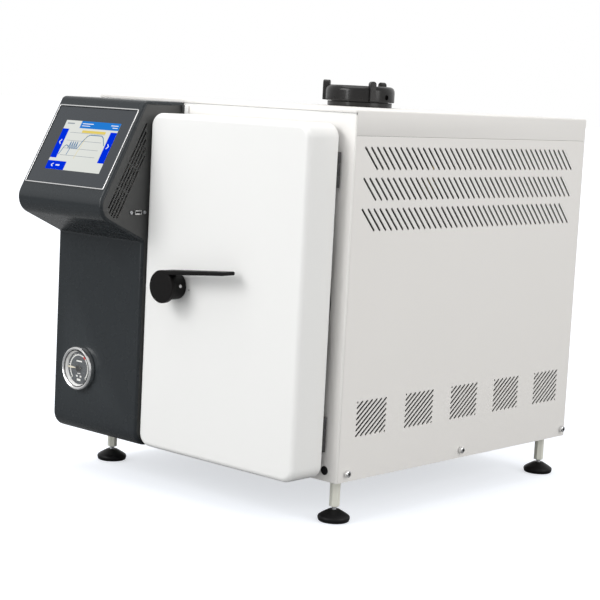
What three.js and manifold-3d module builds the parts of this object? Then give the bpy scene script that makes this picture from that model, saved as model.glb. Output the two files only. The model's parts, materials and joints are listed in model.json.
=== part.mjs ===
// Benchtop steam autoclave: cabinet, side-hinged door, control column and the working parts inside.
// Millimetres, +Z up, door at -Y. The design frame has x = 0 at the right side of the cabinet,
// y = 0 at the front fascia and z = 0 at the lower edge of the panels; the group moves it so that
// the part's own origin is on the bench under the middle of the machine.
import * as THREE from "three";
import { mergeVertices } from "three/addons/utils/BufferGeometryUtils.js";
import Module from "manifold-3d";

const wasm = await Module();
wasm.setup();

// ---- driving dimensions ----
const WIDTH = 538; // cabinet
const DEPTH = 585;
const HEIGHT = 530; // lower edge of the panels to top of cover
const SHEET = 1.5; // sheet thickness
const GAP = 0.3; // clearance between neighbouring pieces
const LEG = 63.5; // bench to lower edge of panels
const SEAM = 494; // height of the cover's side skirt
const FLOOR = 2; // underside of the chassis
const LEFT = -WIDTH; // x of the cabinet's left side
const ORIGIN = { x: WIDTH / 2, y: -218.35, z: LEG };
const DOOR = { x0: -341, x1: -22, y0: -71, y1: -9.4, z0: 4, z1: 509, corner: 20, fillet: 8, wall: 3 };
const VESSEL = { x: -180, z: 256.5, inner: 125, outer: 129, flange: 150, back: 440 };
const HINGE = { x: -25.5, y: -4.9, radius: 3.9, height: 50, knuckle: 16, leaf: 1.4 };
const HUB = { x: -268, z: 257.5, radius: 24.3, neck: 20, front: -105.4, tilt: 5.1 };
const COLUMN = { x0: LEFT, x1: -344.3, front: -75, top: 525.7, wall: 4 };
const GAUGE = { x: -474.8, z: 103, bezel: 34.5, radius: 31.5, front: -85.5 };
const CAP = { x: -400, y: 480, neck: 56.7, radius: 60.6, top: 566.5, lug: 574.5 };
const PORT = { y: -86.5, z: 359.4 };
const BUMPER = [-23.5, 15.5]; // x, z
const SCREW = { z: 12.8, hole: 2.6, front: 20.3, middle: 292.7, rear: 574.1 };
const SIDES = {
  right: { x: 0, out: 1, screws: ["front", "middle", "rear"] },
  left: { x: LEFT, out: -1, screws: ["front", "rear"] },
};
const FOOT_INSET = { x: 27, y: 30 };
const FEET = [
  ["front_right", -FOOT_INSET.x, FOOT_INSET.y],
  ["front_left", LEFT + FOOT_INSET.x, FOOT_INSET.y],
  ["rear_right", -FOOT_INSET.x, DEPTH - FOOT_INSET.y],
  ["rear_left", LEFT + FOOT_INSET.x, DEPTH - FOOT_INSET.y],
];

// ---- solids ----
// A closed three.js geometry as a manifold solid with outward faces.
function solid(geometry) {
  const bare = geometry.clone();
  for (const name of Object.keys(bare.attributes)) {
    if (name !== "position") bare.deleteAttribute(name);
  }
  const merged = mergeVertices(bare, 1e-4);
  const index = merged.index.array;
  const corners = [];
  for (let i = 0; i < index.length; i += 3) {
    const [a, b, c] = index.slice(i, i + 3);
    if (a !== b && b !== c && a !== c) corners.push(a, b, c);
  }
  const make = () =>
    new wasm.Manifold(
      new wasm.Mesh({
        numProp: 3,
        vertProperties: new Float32Array(merged.attributes.position.array),
        triVerts: new Uint32Array(corners),
      }),
    );
  const result = make();
  if (result.volume() >= 0) return result;
  for (let i = 0; i < corners.length; i += 3) {
    [corners[i + 1], corners[i + 2]] = [corners[i + 2], corners[i + 1]];
  }
  return make();
}
const join = (...parts) => parts.reduce((a, b) => a.add(b));
const cut = (body, ...tools) => tools.reduce((a, b) => a.subtract(b), body);
const mid = (a, b) => (a + b) / 2;
const box = (x0, x1, y0, y1, z0, z1) =>
  solid(
    new THREE.BoxGeometry(x1 - x0, y1 - y0, z1 - z0)
      .translate(mid(x0, x1), mid(y0, y1), mid(z0, z1)),
  );

// Prisms: an outline in the plane across the named axis, given depth along it.
const basis = (u, v, w) =>
  new THREE.Matrix4().makeBasis(...[u, v, w].map((axis) => new THREE.Vector3(...axis)));
const YZ = basis([0, 1, 0], [0, 0, 1], [1, 0, 0]);
const XZ = basis([1, 0, 0], [0, 0, 1], [0, -1, 0]);
const shapeOf = (points) => new THREE.Shape(points.map(([u, v]) => new THREE.Vector2(u, v)));
const extrude = (points, depth) =>
  new THREE.ExtrudeGeometry(shapeOf(points), { depth, bevelEnabled: false });
const prismX = (yz, x0, x1) => solid(extrude(yz, x1 - x0).applyMatrix4(YZ).translate(x0, 0, 0));
const prismY = (xz, y0, y1) => solid(extrude(xz, y1 - y0).applyMatrix4(XZ).translate(0, y1, 0));
const prismZ = (xy, z0, z1) => solid(extrude(xy, z1 - z0).translate(0, 0, z0));

// Cylinders along an axis, from a to b; the centre is given in the other two axes.
const rod = (radius, length, n) => new THREE.CylinderGeometry(radius, radius, length, n);
const cylX = ([y, z], radius, a, b, n) =>
  solid(rod(radius, b - a, n).rotateZ(Math.PI / 2).translate(mid(a, b), y, z));
const cylY = ([x, z], radius, a, b, n) => solid(rod(radius, b - a, n).translate(x, mid(a, b), z));
const cylZ = ([x, y], radius, a, b, n) =>
  solid(rod(radius, b - a, n).rotateX(Math.PI / 2).translate(x, y, mid(a, b)));

// Turned pieces: points are (radius, place along the axis). A profile with an end off the axis
// closes on itself.
function lathe(points, n) {
  const open = points[0][0] > 0 || points.at(-1)[0] > 0;
  const loop = open ? [...points, points[0]] : points;
  return new THREE.LatheGeometry(loop.map(([r, h]) => new THREE.Vector2(r, h)), n);
}
const turnY = ([x, z], n, points) => solid(lathe(points, n).translate(x, 0, z));
const turnZ = ([x, y], n, points) =>
  solid(lathe(points, n).rotateX(Math.PI / 2).translate(x, y, 0));

// A round bar along a smooth curve.
function pipe(points, radius, steps, n) {
  const stations = points.map((p) => new THREE.Vector3(...p));
  const extrudePath = new THREE.CatmullRomCurve3(stations, false, "centripetal");
  const ring = Array.from({ length: n }, (_, i) => {
    const angle = (2 * Math.PI * i) / n;
    return [radius * Math.cos(angle), radius * Math.sin(angle)];
  });
  const options = { steps, extrudePath, bevelEnabled: false };
  return solid(new THREE.ExtrudeGeometry(shapeOf(ring), options));
}

// A polygon with rounded corners: vertices are [u, v, radius].
function rounded(segments, vertices) {
  const n = vertices.length;
  return vertices.flatMap(([u, v, radius], i) => {
    if (!radius) return [[u, v]];
    const corner = new THREE.Vector2(u, v);
    const sides = [vertices[(i + n - 1) % n], vertices[(i + 1) % n]].map(([a, b]) =>
      new THREE.Vector2(a, b).sub(corner).normalize(),
    );
    const half = Math.acos(sides[0].dot(sides[1])) / 2;
    const bisector = sides[0].clone().add(sides[1]).normalize();
    const centre = corner.clone().addScaledVector(bisector, radius / Math.sin(half));
    const [start, end] = sides.map((side) => {
      const arm = corner.clone().addScaledVector(side, radius / Math.tan(half)).sub(centre);
      return Math.atan2(arm.y, arm.x);
    });
    let turn = end - start;
    if (turn > Math.PI) turn -= 2 * Math.PI;
    if (turn < -Math.PI) turn += 2 * Math.PI;
    return Array.from({ length: segments + 1 }, (_, k) => {
      const angle = start + (turn * k) / segments;
      return [centre.x + radius * Math.cos(angle), centre.y + radius * Math.sin(angle)];
    });
  });
}
const roundRect = (u0, u1, v0, v1, r, segments) =>
  rounded(segments, [[u0, v0, r], [u1, v0, r], [u1, v1, r], [u0, v1, r]]);

// Skin over a stack of rings with the same number of points, capped at both ends.
function loft(rings) {
  const n = rings[0].length;
  const last = (rings.length - 1) * n;
  const index = [];
  for (let row = 0; row < last; row += n) {
    for (let i = 0; i < n; i++) {
      const a = row + i;
      const b = row + ((i + 1) % n);
      index.push(a, b, b + n, a, b + n, a + n);
    }
  }
  for (let i = 1; i + 1 < n; i++) index.push(0, i + 1, i, last, last + i, last + i + 1);
  const geometry = new THREE.BufferGeometry();
  geometry.setAttribute("position", new THREE.Float32BufferAttribute(rings.flat(2), 3));
  geometry.setIndex(index);
  return solid(geometry);
}

// A straight bar between two (y, z) points, for cutting slots through a sheet across x.
function bar(x0, x1, [ya, za], [yb, zb], width) {
  const scale = width / 2 / Math.hypot(yb - ya, zb - za);
  const dy = (yb - ya) * scale;
  const dz = (zb - za) * scale;
  const outline = [[ya - dz, za + dy], [ya + dz, za - dy], [yb + dz, zb - dy], [yb - dz, zb + dy]];
  return prismX(outline, x0, x1);
}

// ---- scene ----
const group = new THREE.Group();
group.position.set(ORIGIN.x, ORIGIN.y, ORIGIN.z);
// colour, roughness, metalness
const FINISH = {
  powder_white: [0xf2f1ee, 0.55, 0],
  door_white: [0xf4f4f1, 0.3, 0],
  anthracite: [0x3c4145, 0.32, 0],
  anthracite_matt: [0x424242, 0.6, 0],
  steel: [0xc9ccd0, 0.28, 1],
  zinc: [0xb9bcc0, 0.38, 1],
  black_steel: [0x1c1c1c, 0.5, 1],
  black_plastic: [0x1d1c1c, 0.35, 0],
  rubber: [0x151515, 0.8, 0],
  silicone: [0xd9d5c8, 0.6, 0],
  glass: [0x20262c, 0.06, 0],
  clear: [0xdfe8ea, 0.05, 0],
  circuit: [0x1f5a38, 0.6, 0],
  brass: [0xb99a55, 0.35, 1],
  tank: [0xe6e8e4, 0.5, 0],
  dial: [0x3a3d40, 0.6, 0],
  cream: [0xe9e3cf, 0.5, 0],
  copper: [0xb87a55, 0.35, 1],
  spacer: [0xdddccb, 0.5, 0],
};
function add(name, finish, manifold) {
  const { vertProperties, triVerts } = manifold.getMesh();
  const indexed = new THREE.BufferGeometry();
  indexed.setAttribute("position", new THREE.BufferAttribute(vertProperties, 3));
  indexed.setIndex(new THREE.BufferAttribute(triVerts, 1));
  const geometry = indexed.toNonIndexed();
  geometry.computeVertexNormals();
  const [color, roughness, metalness] = FINISH[finish];
  const material = new THREE.MeshStandardMaterial({ color, roughness, metalness });
  const mesh = new THREE.Mesh(geometry, material);
  mesh.name = name;
  group.add(mesh);
}

// ---- cabinet ----
const SLOT = 3.4; // width of the side panels' slots
// Low windows of parallel slots on both side panels; pitch is measured in z.
const VENT = { y: [35.6, 147.6, 259.6, 371.6, 483.6], width: 69, z0: 63.4, z1: 116, pitch: 16.4 };
// Three rows of short slots that slope the other way, high on the right side panel.
const BAND = { y0: 24, pitch: 26.2, count: 20, rows: [361, 404.5, 448], height: 30, run: 28 };

function ventSlots(x0, x1) {
  const height = VENT.z1 - VENT.z0;
  const slope = height / VENT.width;
  const margin = 2;
  const slots = [];
  for (const y of VENT.y) {
    for (let k = -2; k <= 2; k++) {
      const offset = k * VENT.pitch; // height of the slot's line above the window's diagonal
      const start = Math.max(0, -offset / slope) + margin;
      const end = Math.min(VENT.width, (height - offset) / slope) - margin;
      const at = (run) => [y + run, VENT.z0 + offset + run * slope];
      slots.push(bar(x0, x1, at(start), at(end), SLOT));
    }
  }
  return slots;
}
function bandSlots(x0, x1) {
  return BAND.rows.flatMap((z) =>
    Array.from({ length: BAND.count }, (_, i) => {
      const y = BAND.y0 + i * BAND.pitch;
      return bar(x0, x1, [y, z + BAND.height], [y + BAND.run, z], SLOT);
    }),
  );
}
// A cylinder on a side screw's axis; a and b are measured outwards from the cabinet's side.
function sideRod({ x, out }, place, radius, a, b, n) {
  const ends = [x + out * a, x + out * b].sort((p, q) => p - q);
  return cylX([SCREW[place], SCREW.z], radius, ...ends, n);
}
const screwHoles = (side, a, b, n) =>
  side.screws.map((place) => sideRod(side, place, SCREW.hole, a, b, n));

{
  const tray = (inset, z0, z1) => box(LEFT + inset, -inset, inset, DEPTH - inset, z0, z1);
  const inset = SHEET + GAP;
  const chassis = cut(
    tray(inset, FLOOR, 16),
    tray(inset + SHEET, FLOOR + SHEET, 21),
    ...FEET.map(([, x, y]) => cylZ([x, y], 4.6, 0, 8, 12)),
    ...Object.values(SIDES).flatMap((side) => screwHoles(side, -8, 2, 8)),
  );
  add("base_chassis", "powder_white", chassis);
}
{
  const skirt = SEAM + GAP;
  const section = rounded(3, [
    [0, skirt, 0], [0, HEIGHT, 2.5], [LEFT, HEIGHT, 2.5], [LEFT, skirt, 0],
    [LEFT + SHEET, skirt, 0], [LEFT + SHEET, HEIGHT - SHEET, 1],
    [-SHEET, HEIGHT - SHEET, 1], [-SHEET, skirt, 0],
  ]);
  const cover = join(
    prismY(section, 3.1, DEPTH),
    prismY(roundRect(LEFT, 0, 525.5, HEIGHT, 2, 2), 0, 3.2), // front lip
    box(LEFT + SHEET, -SHEET, DEPTH - SHEET, DEPTH, 515, HEIGHT - 1), // rear lip
  );
  const fillerHole = cylZ([CAP.x, CAP.y], 47, HEIGHT - 5, HEIGHT + 5, 32);
  const lipHollow = box(LEFT + SHEET, -SHEET, SHEET, 3.15, 520, HEIGHT - SHEET);
  add("top_cover", "powder_white", cut(cover, fillerHole, lipHollow));
}
for (const [name, side] of Object.entries(SIDES)) {
  const x0 = Math.min(side.x, side.x - side.out * SHEET);
  const x1 = x0 + SHEET;
  const slots = ventSlots(x0 - 1, x1 + 1);
  if (name === "right") slots.push(...bandSlots(x0 - 1, x1 + 1));
  const sheet = box(x0, x1, 3.1, DEPTH, 0, SEAM);
  const panel = cut(sheet, join(...slots), ...screwHoles(side, -3, 1, 10));
  add(`${name}_side_panel`, "powder_white", panel);
}
{
  const opening = (x0, x1, z0, z1) => box(x0, x1, DEPTH - 5, DEPTH + 5, z0, z1);
  const inset = SHEET + GAP;
  const panel = cut(
    box(LEFT + inset, -inset, DEPTH - SHEET, DEPTH, FLOOR, 514.6),
    opening(-482, -428, 38, 72), // mains inlet
    opening(-412, -388, 40, 70), // switch
    cylY([-120, 60], 9, DEPTH - 5, DEPTH + 5, 16), // steam pipe
    ...Array.from({ length: 8 }, (_, k) => opening(-360, -180, 380 + 12 * k, 384 + 12 * k)),
  );
  add("rear_panel", "powder_white", panel);
}
{
  const radius = 2.5;
  const lip = 2.8; // depth of the side returns
  const section = rounded(3, [
    [0, lip, 0], [0, 0, radius], [LEFT, 0, radius], [LEFT, lip, 0],
    [LEFT + SHEET, lip, 0], [LEFT + SHEET, SHEET, 0], [-SHEET, SHEET, 0], [-SHEET, lip, 0],
  ]);
  const fascia = cut(
    prismZ(section, 0, 522.5),
    cylY([VESSEL.x, VESSEL.z], 152, -5, 10, 40),
    cylY(BUMPER, 3.4, -2, 4, 12),
    box(-500, -380, -2, 4, 150, 460), // opening behind the control column
  );
  add("front_fascia", "powder_white", fascia);
}
{
  const bore = VESSEL.outer + 0.5;
  const saddle = (y) =>
    cut(box(-290, -70, y, y + 3, 4, 200), cylY([VESSEL.x, VESSEL.z], bore, y - 1, y + 4, 40));
  const rails = [[-290, -250], [-110, -70]].map(([x0, x1]) => box(x0, x1, 69, 384, 4, 7));
  add("vessel_cradle", "zinc", join(saddle(70), saddle(380), ...rails));
}

// ---- control column ----
// Slanted face: (y, z) of its top edge and the unit direction down it.
const SLOPE = { y: -77.5, z: COLUMN.top, dy: -0.4841, dz: -0.875 };
// Side profile in (y, z), offset inwards except at the back, anticlockwise with y to the right.
function columnProfile(inset, back) {
  // y, z, corner radius (negative for the inward bend)
  const corners = [
    [back, COLUMN.top, 0],
    [SLOPE.y, COLUMN.top, 10],
    [-170.4, 357.6, 26],
    [COLUMN.front, 314.5, -4],
    [COLUMN.front, 0, 25],
    [back, 0, 0],
  ];
  const n = corners.length;
  // Each edge as a point and a unit direction.
  const edges = corners.map(([y, z], i) => {
    const [nextY, nextZ] = corners[(i + 1) % n];
    const length = Math.hypot(nextY - y, nextZ - z);
    const dy = (nextY - y) / length;
    const dz = (nextZ - z) / length;
    const shift = i === n - 1 ? 0 : inset;
    return { y: y - dz * shift, z: z + dy * shift, dy, dz };
  });
  // New corners are where neighbouring edges meet.
  const vertices = corners.map(([, , radius], i) => {
    const a = edges[(i + n - 1) % n];
    const b = edges[i];
    const along = ((b.y - a.y) * b.dz - (b.z - a.z) * b.dy) / (a.dy * b.dz - a.dz * b.dy);
    return [a.y + a.dy * along, a.z + a.dz * along, radius && Math.abs(radius - inset)];
  });
  return rounded(5, vertices);
}
// (y, z) of a point a distance down the slanted face and a distance out of it.
const onSlope = (down, out) => [
  SLOPE.y + SLOPE.dy * down + SLOPE.dz * out,
  SLOPE.z + SLOPE.dz * down - SLOPE.dy * out,
];
const slab = (x0, x1, d0, d1, out0, out1) =>
  prismX([onSlope(d0, out0), onSlope(d1, out0), onSlope(d1, out1), onSlope(d0, out1)], x0, x1);
// A slab the size of the display opening, grown on all four sides.
const displaySlab = (grow, out0, out1) =>
  slab(-529.3 - grow, -352.3 + grow, 17.9 - grow, 149.2 + grow, out0, out1);
const portBlock = (x0, x1, halfY, halfZ) =>
  box(x0, x1, PORT.y - halfY, PORT.y + halfY, PORT.z - halfZ, PORT.z + halfZ);

{
  const shell = cut(
    prismX(columnProfile(0, -0.5), COLUMN.x0, COLUMN.x1),
    prismX(columnProfile(COLUMN.wall, 5), COLUMN.x0 - 1, COLUMN.x1 + 1),
    displaySlab(0, -10, 5),
    cylY([GAUGE.x, GAUGE.z], GAUGE.radius + 0.6, -85, -60, 32),
  );
  add("control_shell", "anthracite", shell);
}
{
  const inset = 0.4; // clearance to the shell and to its open side
  const cheek = (x0) => prismX(columnProfile(COLUMN.wall + inset, -0.5), x0, x0 + 2);
  const through = [-350.3, -340.3];
  // Rows of slots parallel to the slanted face: start and end down the slope, depth below it.
  const rows = [
    [28.7, 170.3, 19.5],
    [40.2, 175.6, 24.9],
    [50.2, 177.4, 30.3],
    [60.9, 177.7, 35.7],
    [71.7, 175.4, 41.2],
  ];
  const slots = rows.flatMap(([start, end, depth]) =>
    [[start, 93], [97.5, 132.5], [137, end]].map(([a, b]) =>
      bar(...through, onSlope(a, -depth), onSlope(b, -depth), 2.8),
    ),
  );
  const boltHole = box(...through, -48, -32, 247, 268);
  const right = cut(cheek(COLUMN.x1 - inset - 2), ...slots, boltHole, portBlock(...through, 7, 4));
  add("control_cheek_right", "anthracite_matt", right);
  add("control_cheek_left", "anthracite_matt", cheek(COLUMN.x0 + inset));
}
add("display_trim", "steel", cut(displaySlab(2.5, 0.3, 1.3), displaySlab(0, -1, 3)));
add("touch_display", "glass", join(
  displaySlab(-0.4, -3.6, -0.2),
  slab(-512.8, -362.8, 28, 138, -11, -3.5),
));
add("main_board", "circuit", join(
  slab(-518.8, -358.8, 24, 142, -24, -22.4),
  slab(-496.8, -446.8, 50, 90, -30, -23.9),
  slab(-406.8, -376.8, 60, 110, -34, -23.9),
));
add("service_port", "steel", cut(
  join(portBlock(-349.9, -347, 17.5, 6), portBlock(-348.3, -341.7, 6.6, 3.6)),
  portBlock(-345.3, -340.3, 5.6, 2.6),
));

// ---- pressure gauge ----
{
  const { x, z, bezel, radius, front } = GAUGE;
  const disc = (y0, y1) => cylY([x, z], 28.4, y0, y1, 24);
  add("gauge_case", "steel", turnY([x, z], 24, [
    [0, -54.5], [radius, -54.5], [radius, -75.5], [bezel, -75.5], [bezel, front + 2.5],
    [bezel - 2.5, front], [29.8, front], [29, front + 2], [29, -75.6], [0, -75.6],
  ]));
  add("gauge_dial", "dial", disc(-78, -75.9));
  const pointer = [
    [x - 24, z - 0.35], [x - 24, z + 0.35], [x, z + 1.6],
    [x + 8, z + 1.2], [x + 8, z - 1.2], [x, z - 1.6],
  ];
  const boss = cylY([x, z], 3, -81.2, -78.4, 16);
  add("gauge_needle", "cream", join(boss, prismY(pointer, -80.6, -79.4)));
  add("gauge_lens", "clear", disc(-83.6, -82));
}

// ---- pressure vessel ----
{
  const { x, z, inner, outer, flange, back } = VESSEL;
  add("chamber_vessel", "steel", turnY([x, z], 28, [
    // outside, from the domed back to the flange with its seal groove
    [0, back + 40], [60, back + 34], [103, back + 18], [outer, back - 6], [outer, 8],
    [flange, 8], [flange, -4], [141, -4], [141, 0], [131, 0], [131, -4],
    // inside
    [inner, -4], [inner, back - 6], [100, back + 15], [58, back + 30], [0, back + 36],
  ]));
  add("door_seal", "silicone", turnY([x, z], 28, [
    [131.5, -0.4], [140.5, -0.4], [140.5, -6.4], [138, -8.6], [134, -8.6], [131.5, -6.4],
  ]));
  const bandIn = outer + 0.6;
  const bandOut = outer + 5;
  const band = [[bandIn, 130], [bandOut, 130], [bandOut, 330], [bandIn, 330]];
  const terminals = box(x - 20, x + 20, 200, 240, z - outer - 22, z - outer - 4);
  add("band_heater", "steel", join(turnY([x, z], 28, band), terminals));
  const top = z + outer;
  const valveY = 405;
  add("safety_valve", "brass", join(
    cylZ([x, valveY], 9, top + 0.6, top + 22, 16),
    cylZ([x, valveY], 16, top + 14, top + 26, 6),
    cylZ([x, valveY], 11, top + 24, top + 58, 20),
    cylX([valveY, top + 40], 5, x + 5, x + 26, 12),
  ));
}

// ---- water circuit ----
const capCentre = [CAP.x, CAP.y];
{
  const block = (inset) =>
    prismZ(
      roundRect(-522 + inset, -326 - inset, 340 + inset, 566 - inset, 18 - inset, 4),
      214 + inset,
      505 - inset,
    );
  const outlet = [-430, 400];
  const spout = cut(cylZ(outlet, 8, 190, 215, 16), cylZ(outlet, 5.5, 180, 230, 16));
  const shell = cut(block(0), block(4), cylZ(capCentre, 46.5, 495, 510, 32));
  add("water_tank", "tank", join(shell, spout));
}
add("filler_neck", "black_plastic", turnZ(capCentre, 24, [
  [45.5, 490], [45.5, HEIGHT + GAP], [CAP.neck, HEIGHT + GAP], [CAP.neck, 538.4],
  [50, 538.4], [50, 555.5], [40, 555.5], [40, 490],
]));
add("filler_cap_seal", "silicone", turnZ(capCentre, 24, [[0, 556], [49, 556], [49, 559.5], [0, 559.5]]));
{
  const { radius, top } = CAP;
  const body = turnZ(capCentre, 30, [
    [0, 560.5], [53, 560.5], [53, 539], [radius, 539],
    [radius, top - 7], [radius - 2, top - 3], [radius - 7, top], [0, top],
  ]);
  const lugOutline = rounded(4, [
    [-5.5, 539.5, 0], [5.5, 539.5, 0], [5.5, CAP.lug, 5.4], [-5.5, CAP.lug, 5.4],
  ]);
  const lugs = [-30, 90, 210].map((angle) =>
    prismX(lugOutline, 54, 66.5).rotate([0, 0, angle]).translate([CAP.x, CAP.y, 0]),
  );
  const sideHole = cylX([CAP.y, 548], 4.6, CAP.x + 56, CAP.x + 70, 12);
  add("filler_cap", "black_plastic", cut(join(body, ...lugs), sideHole));
}
add("water_pump", "black_plastic", join(
  box(-470, -400, 210, 290, 5, 12),
  box(-462, -408, 216, 258, 11, 66),
  cylY([-435, 40], 24, 256, 330, 24),
  cylZ([-435, 236], 6, 64, 84, 12),
  cylX([236, 40], 6, -410, -388, 12),
));
add("solenoid_valve", "brass", join(
  box(-238, -206, 440, 480, 40, 66),
  box(-236, -208, 446, 474, 64, 108),
  cylY([-222, 53], 7, 424, 442, 12),
  cylY([-222, 53], 7, 478, 494, 12),
));
const FILL_PATH = [
  [-430, 400, 189.5], [-430, 398, 160], [-432, 330, 120],
  [-435, 250, 112], [-435, 236, 100], [-435, 236, 84.6],
];
add("fill_pipe", "clear", pipe(FILL_PATH, 5, 12, 8));
const STEAM_PATH = [
  [-222, 494.6, 53], [-222, 520, 53], [-200, 545, 54],
  [-150, 556, 58], [-120, 566, 60], [-120, 582, 60],
];
add("steam_pipe", "copper", join(
  pipe(STEAM_PATH, 5.5, 12, 8),
  cylY([-120, 60], 7.5, 576, 596.4, 16),
  turnY([-120, 60], 6, [[0, 585.6], [14, 585.6], [14, 590], [0, 590]]),
));

// ---- mains inlet and switch ----
add("power_inlet", "black_plastic", cut(
  join(box(-485, -425, DEPTH + GAP, DEPTH + 3, 35, 75), box(-481, -429, 550, DEPTH + 1, 39, 71)),
  box(-470, -440, 560, DEPTH + 5, 45, 65),
));
add("switch_frame", "black_plastic", cut(
  join(box(-415, -385, DEPTH + GAP, DEPTH + 2.3, 37, 73), box(-411, -389, 560, DEPTH + 1, 41, 69)),
  box(-409, -391, 566, DEPTH + 5, 43, 67),
));
// The lower end of the rocker stands proud.
const ROCKER = [[571, 55], [574, 47], [588.4, 47], [585.8, 55], [587, 64.5], [574, 64.5]]; // y, z
add("rocker_switch", "black_plastic", prismX(ROCKER, -408, -392));

// ---- door ----
{
  const { x0, x1, y0, y1, z0, z1, corner, fillet, wall } = DOOR;
  const outline = (inset) =>
    roundRect(x0 + inset, x1 - inset, z0 + inset, z1 - inset, corner - inset, 5);
  const ring = ([inset, y]) => outline(inset).map(([x, z]) => [x, y, z]);
  // Front fillet as fractions of its size: inset, distance behind the door's face.
  const bend = [[1, 0], [0.62, 0.075], [0.29, 0.29], [0.075, 0.62], [0, 1]];
  const outer = bend.map(([inset, back]) => [fillet * inset, y0 + fillet * back]);
  // inset, y
  const inner = [[fillet + 1, y0 + wall], [wall + 1.5, y0 + wall + 4], [wall, y0 + wall + 9]];
  const cover = cut(
    loft([...outer, [0, y1]].map(ring)),
    loft([...inner, [wall, y1 + 5]].map(ring)),
    cylY([HUB.x, HUB.z], 8, y0 - 2, y0 + 6, 20),
    box(x0 - 2, x0 + 6, -46.7, -33.3, 248.8, 266.2), // latch bolt
  );
  add("door_cover", "door_white", cover);
  const plate = prismY(outline(wall + GAP + 0.4), -12.6, -9.6);
  add("door_plate", "zinc", cut(plate, cylY([VESSEL.x, VESSEL.z], 149.6, -20, 0, 40)));
}
add("door_liner", "steel", turnY([VESSEL.x, VESSEL.z], 28, [
  [0, -22], [118, -22], [126, -24], [149, -24], [149, -9.7], [129, -9.7], [122, -15], [0, -17],
]));
const hub = [HUB.x, HUB.z];
add("latch_plate", "zinc", cut(box(-326, -236, -57, -52, 226, 290), cylY(hub, 6.8, -60, -50, 20)));

for (const [name, z] of [["upper", 420], ["lower", 43]]) {
  const { x, y, radius, height, knuckle, leaf } = HINGE;
  const top = z + height;
  const low = z + knuckle;
  const high = top - knuckle;
  const barrel = (r, z0, z1, n) => cylZ([x, y], r, z0, z1, n);
  const flap = (y0, z0, z1, edge = 0.5) => box(x - 45, x - edge, y0, y0 + leaf, z0, z1);
  const fixed = join(
    barrel(radius, z, low, 16),
    barrel(radius, high, top, 16),
    barrel(2, z + 1, top - 1, 12),
    flap(-2.4, z, low),
    flap(-2.4, high, top),
    flap(-2.4, z + 2, top - 2, 8),
  );
  const notch = box(x - 6, x + 6, -12, 5, low, high);
  const bracket = cut(fixed, notch).add(barrel(2, z + 10, z + 40, 12));
  add(`hinge_bracket_${name}`, "black_steel", bracket);
  const moving = join(
    barrel(radius, low + 0.4, high - 0.4, 16),
    flap(-8.8, low + 0.4, high - 0.4),
  );
  add(`hinge_leaf_${name}`, "black_steel", cut(moving, barrel(2.45, z + 10, z + 40, 16)));
}

// ---- handle and latch ----
{
  const { radius, neck, front, tilt } = HUB;
  // The lever and its set screw are drawn level about the hub's axis, then tilted.
  const tilted = (part) => part.rotate([0, -tilt, 0]).translate([HUB.x, 0, HUB.z]);
  const screwRod = (r, a, b, n) => tilted(cylX([-84.3, 0], r, a, b, n));
  const knob = turnY(hub, 36, [
    [0, front], [radius - 1.2, front], [radius, front + 1.2], [radius, front + 7],
    [neck + 1, front + 10], [neck, -72], [0, -72],
  ]);
  const lever = rounded(2, [
    [0, radius - 6.2, 0], [131, radius - 5.2, 2], [131, radius - 0.2, 2], [0, radius - 0.2, 0],
  ]);
  const handle = join(knob, tilted(prismY(lever, front, -82.3)));
  const bores = [cylY(hub, 6.5, -99, -60, 20), screwRod(3.2, 5, 30, 12)];
  add("door_handle", "black_plastic", cut(handle, ...bores));
  add("handle_set_screw", "steel", cut(screwRod(2.8, 6.8, 20.6, 12), screwRod(1.4, 18, 24, 6)));
}
{
  // Crank pin on the shaft's disc; its angle runs from +z towards +x.
  const angle = (140 * Math.PI) / 180;
  const throwRadius = 9.334;
  const pinX = HUB.x + throwRadius * Math.sin(angle);
  const pin = [pinX, HUB.z + throwRadius * Math.cos(angle)];
  add("handle_shaft", "steel", join(
    cylY(hub, 6, -98.6, -43, 20),
    cylY(hub, 15, -44, -39.6, 24),
    cylY(pin, 3, -40, -34, 12),
  ));
  add("latch_bolt", "zinc", cut(
    join(
      box(-340.2, -302, -46, -34.8, 249.5, 265.5),
      box(-303, pinX + 8.5, -38.8, -34.8, 240.5, 265.5),
    ),
    box(pinX - 3.75, pinX + 3.75, -45, -30, HUB.z - 13.6, HUB.z - 3.2), // slot for the pin
  ));
}
add("latch_keeper", "zinc", cut(
  box(-354.8, -347.3, -56, -24, 240, 275),
  box(-357.3, -345.3, -46.9, -33.9, 248.6, 266.4),
));
add("door_bumper", "rubber", turnY(BUMPER, 16, [
  [0, -1.1], [5.6, -1.1], [6.5, -0.7], [6.5, -0.3], [3, -0.3], [3, 1.4], [0, 1.4],
]));

// ---- feet ----
for (const [name, x, y] of FEET) {
  const tube = [[4.2, -42], [7.7, -42], [7.7, 1.7], [4.2, 1.7]];
  add(`foot_spacer_${name}`, "spacer", turnZ([x, y], 12, tube));
  add(`levelling_foot_${name}`, "rubber", turnZ([x, y], 16, [
    [0, -LEG], [21.5, -LEG], [23, -LEG + 1.5], [23.7, -LEG + 6], [22.5, -LEG + 9],
    [9, -LEG + 17.5], [3.6, -LEG + 17.5], [3.6, 14], [0, 14],
  ]));
}

// ---- panel screws ----
for (const [name, side] of Object.entries(SIDES)) {
  for (const place of side.screws) {
    const head = sideRod(side, place, 5, 0.3, 6.3, 12);
    const shank = sideRod(side, place, 2.2, -7, 1, 6);
    const socket = sideRod(side, place, 2.8, 3.3, 8, 6);
    add(`panel_screw_${name}_${place}`, "steel", cut(join(head, shank), socket));
  }
}

export default group;
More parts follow.
